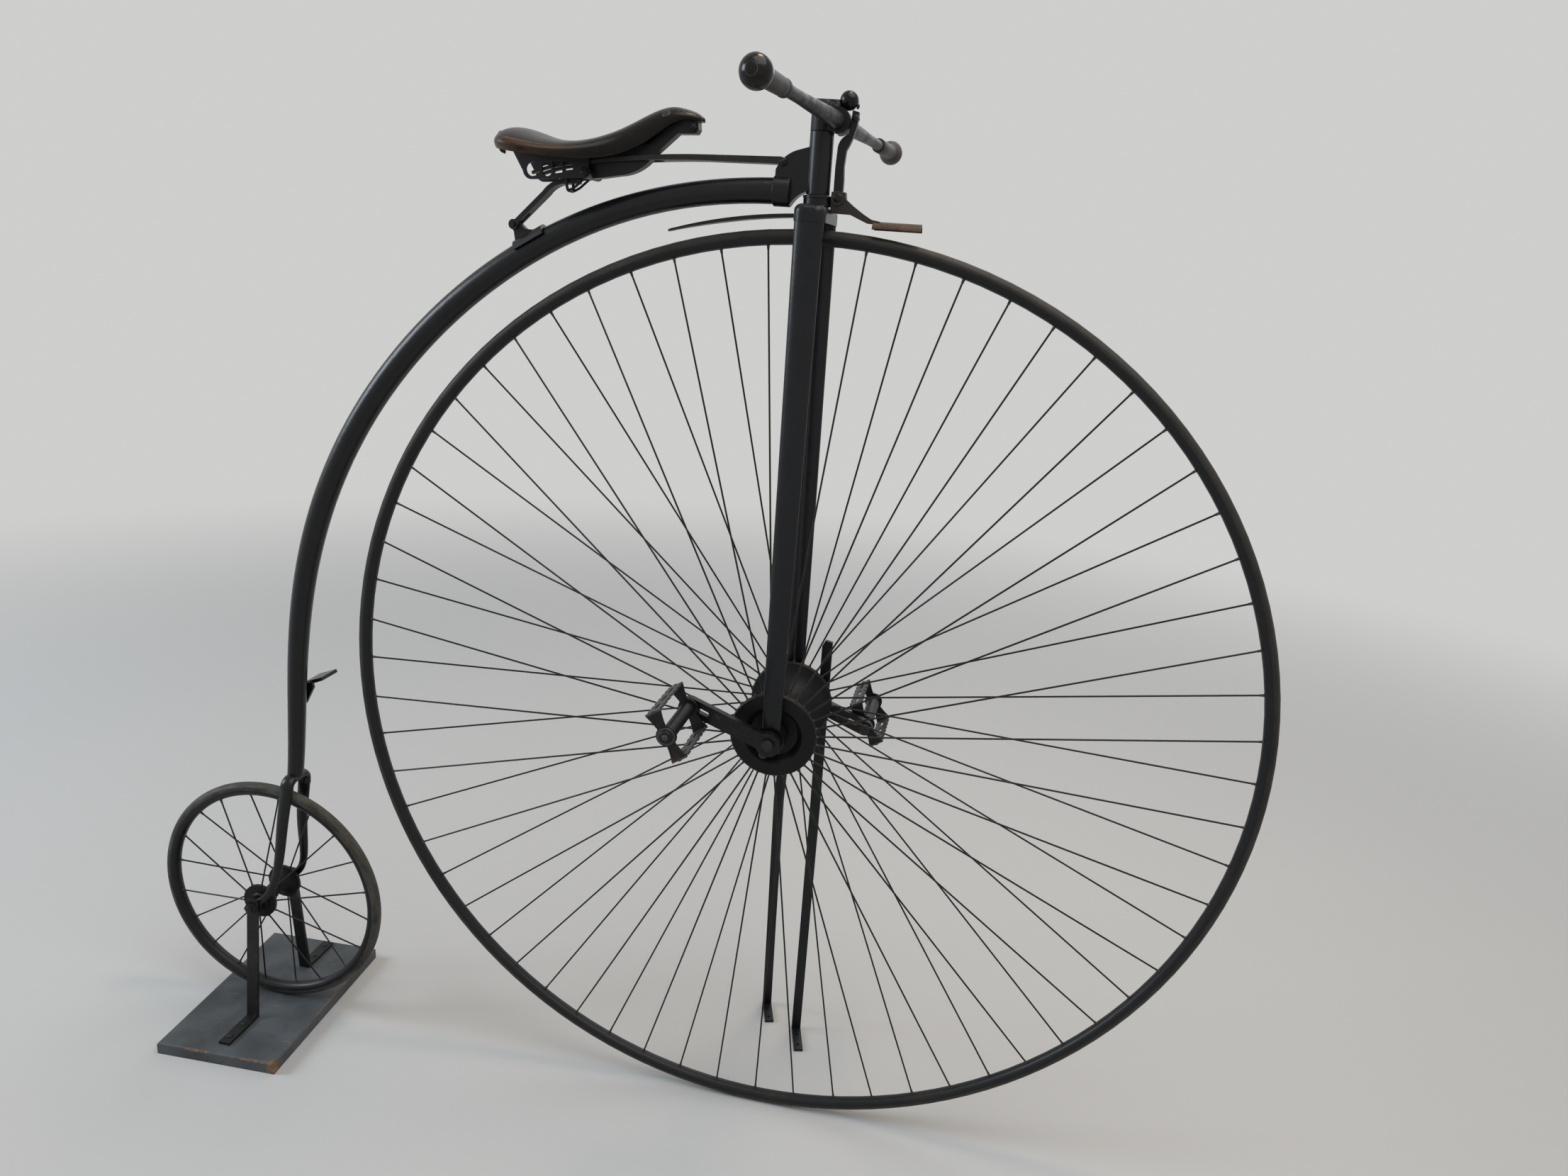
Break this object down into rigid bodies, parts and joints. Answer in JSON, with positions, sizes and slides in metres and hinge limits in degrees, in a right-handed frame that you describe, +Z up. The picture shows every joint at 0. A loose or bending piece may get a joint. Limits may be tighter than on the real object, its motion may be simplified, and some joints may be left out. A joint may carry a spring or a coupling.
{
  "type": "penny farthing bicycle",
  "caption": "High-wheel bicycle with a large spoked front wheel, small rear wheel, curved backbone and leather saddle, standing on iron legs and a rear plank.",
  "frame": {"origin": "on the floor, in the middle of the bicycle's length and width", "axes": "+X forward, +Y to the rider's left, +Z up; both wheels' axles lie along Y"},
  "size_m": [1.6992, 0.6812, 1.483],
  "materials": {
    "frame_black": "satin black enamel, worn and slightly blue",
    "hub_black": "dull black enamel over steel, dusty in the hollows",
    "tyre_rubber": "solid rubber, dry, grey-brown and scuffed",
    "machined_steel": "dark worn steel",
    "pedal_steel": "dull grey steel with rubbed edges",
    "bar_steel": "worn dark steel with a brown tarnish",
    "spoon_steel": "brown steel, rubbed and lightly rusted",
    "handle_black": "polished black horn",
    "stand_steel": "black painted flat bar",
    "saddle_iron": "black enamel over cast iron and spring steel",
    "leather_brown": "waxed dark brown leather",
    "plank_paint": "worn blue-grey paint over bare softwood"
  },
  "bodies": {
    "frame": {"backbone": "frame_black", "head_lug": "frame_black", "rear_fork": "frame_black", "rear_axle": "machined_steel", "axle_nuts": "machined_steel", "stand_board": "plank_paint", "rear_brackets": "stand_steel", "step": "frame_black", "saddle_spring": "saddle_iron", "saddle_cradle": "saddle_iron", "rear_leg": "saddle_iron", "leg_clamp": "saddle_iron", "saddle_leather": "leather_brown"},
    "fork": {"front_fork": "frame_black", "steering_stem": "frame_black", "handlebar": "bar_steel", "handles": "handle_black", "bar_clamp": "frame_black", "brake_lever": "bar_steel", "brake_spoon": "spoon_steel", "rear_tongue": "frame_black", "stand_yoke": "stand_steel", "stand_leg_front": "stand_steel", "stand_leg_rear": "stand_steel"},
    "front_wheel": {"front_tyre": "tyre_rubber", "front_rim": "hub_black", "front_hub": "hub_black", "front_axle": "machined_steel", "cranks": "machined_steel", "pedal_pins": "machined_steel"},
    "rear_wheel": {"rear_tyre": "tyre_rubber", "rear_rim": "hub_black", "rear_hub": "hub_black"},
    "pedal_right": {"pedal_frame_right": "pedal_steel", "pedal_treads_right": "pedal_steel"},
    "pedal_left": {"pedal_frame_left": "pedal_steel", "pedal_treads_left": "pedal_steel"}
  },
  "joints": [
    {"name": "steering", "type": "hinge", "parent": "frame", "child": "fork", "pos_m": [0.18465, 0, 1.398], "axis": [0, 0, 1], "range_deg": [-30, 30]},
    {"name": "front_wheel_spin", "type": "hinge", "parent": "fork", "child": "front_wheel", "pos_m": [0.18915, 0, 0.6605], "axis": [0, 1, 0], "continuous": true},
    {"name": "rear_wheel_spin", "type": "hinge", "parent": "frame", "child": "rear_wheel", "pos_m": [-0.65265, 0, 0.2165], "axis": [0, 1, 0], "continuous": true},
    {"name": "pedal_right_spin", "type": "hinge", "parent": "front_wheel", "child": "pedal_right", "pos_m": [0.07956, -0.1585, 0.70147], "axis": [0, 1, 0], "continuous": true},
    {"name": "pedal_left_spin", "type": "hinge", "parent": "front_wheel", "child": "pedal_left", "pos_m": [0.29874, 0.1585, 0.61953], "axis": [0, 1, 0], "continuous": true}
  ]
}
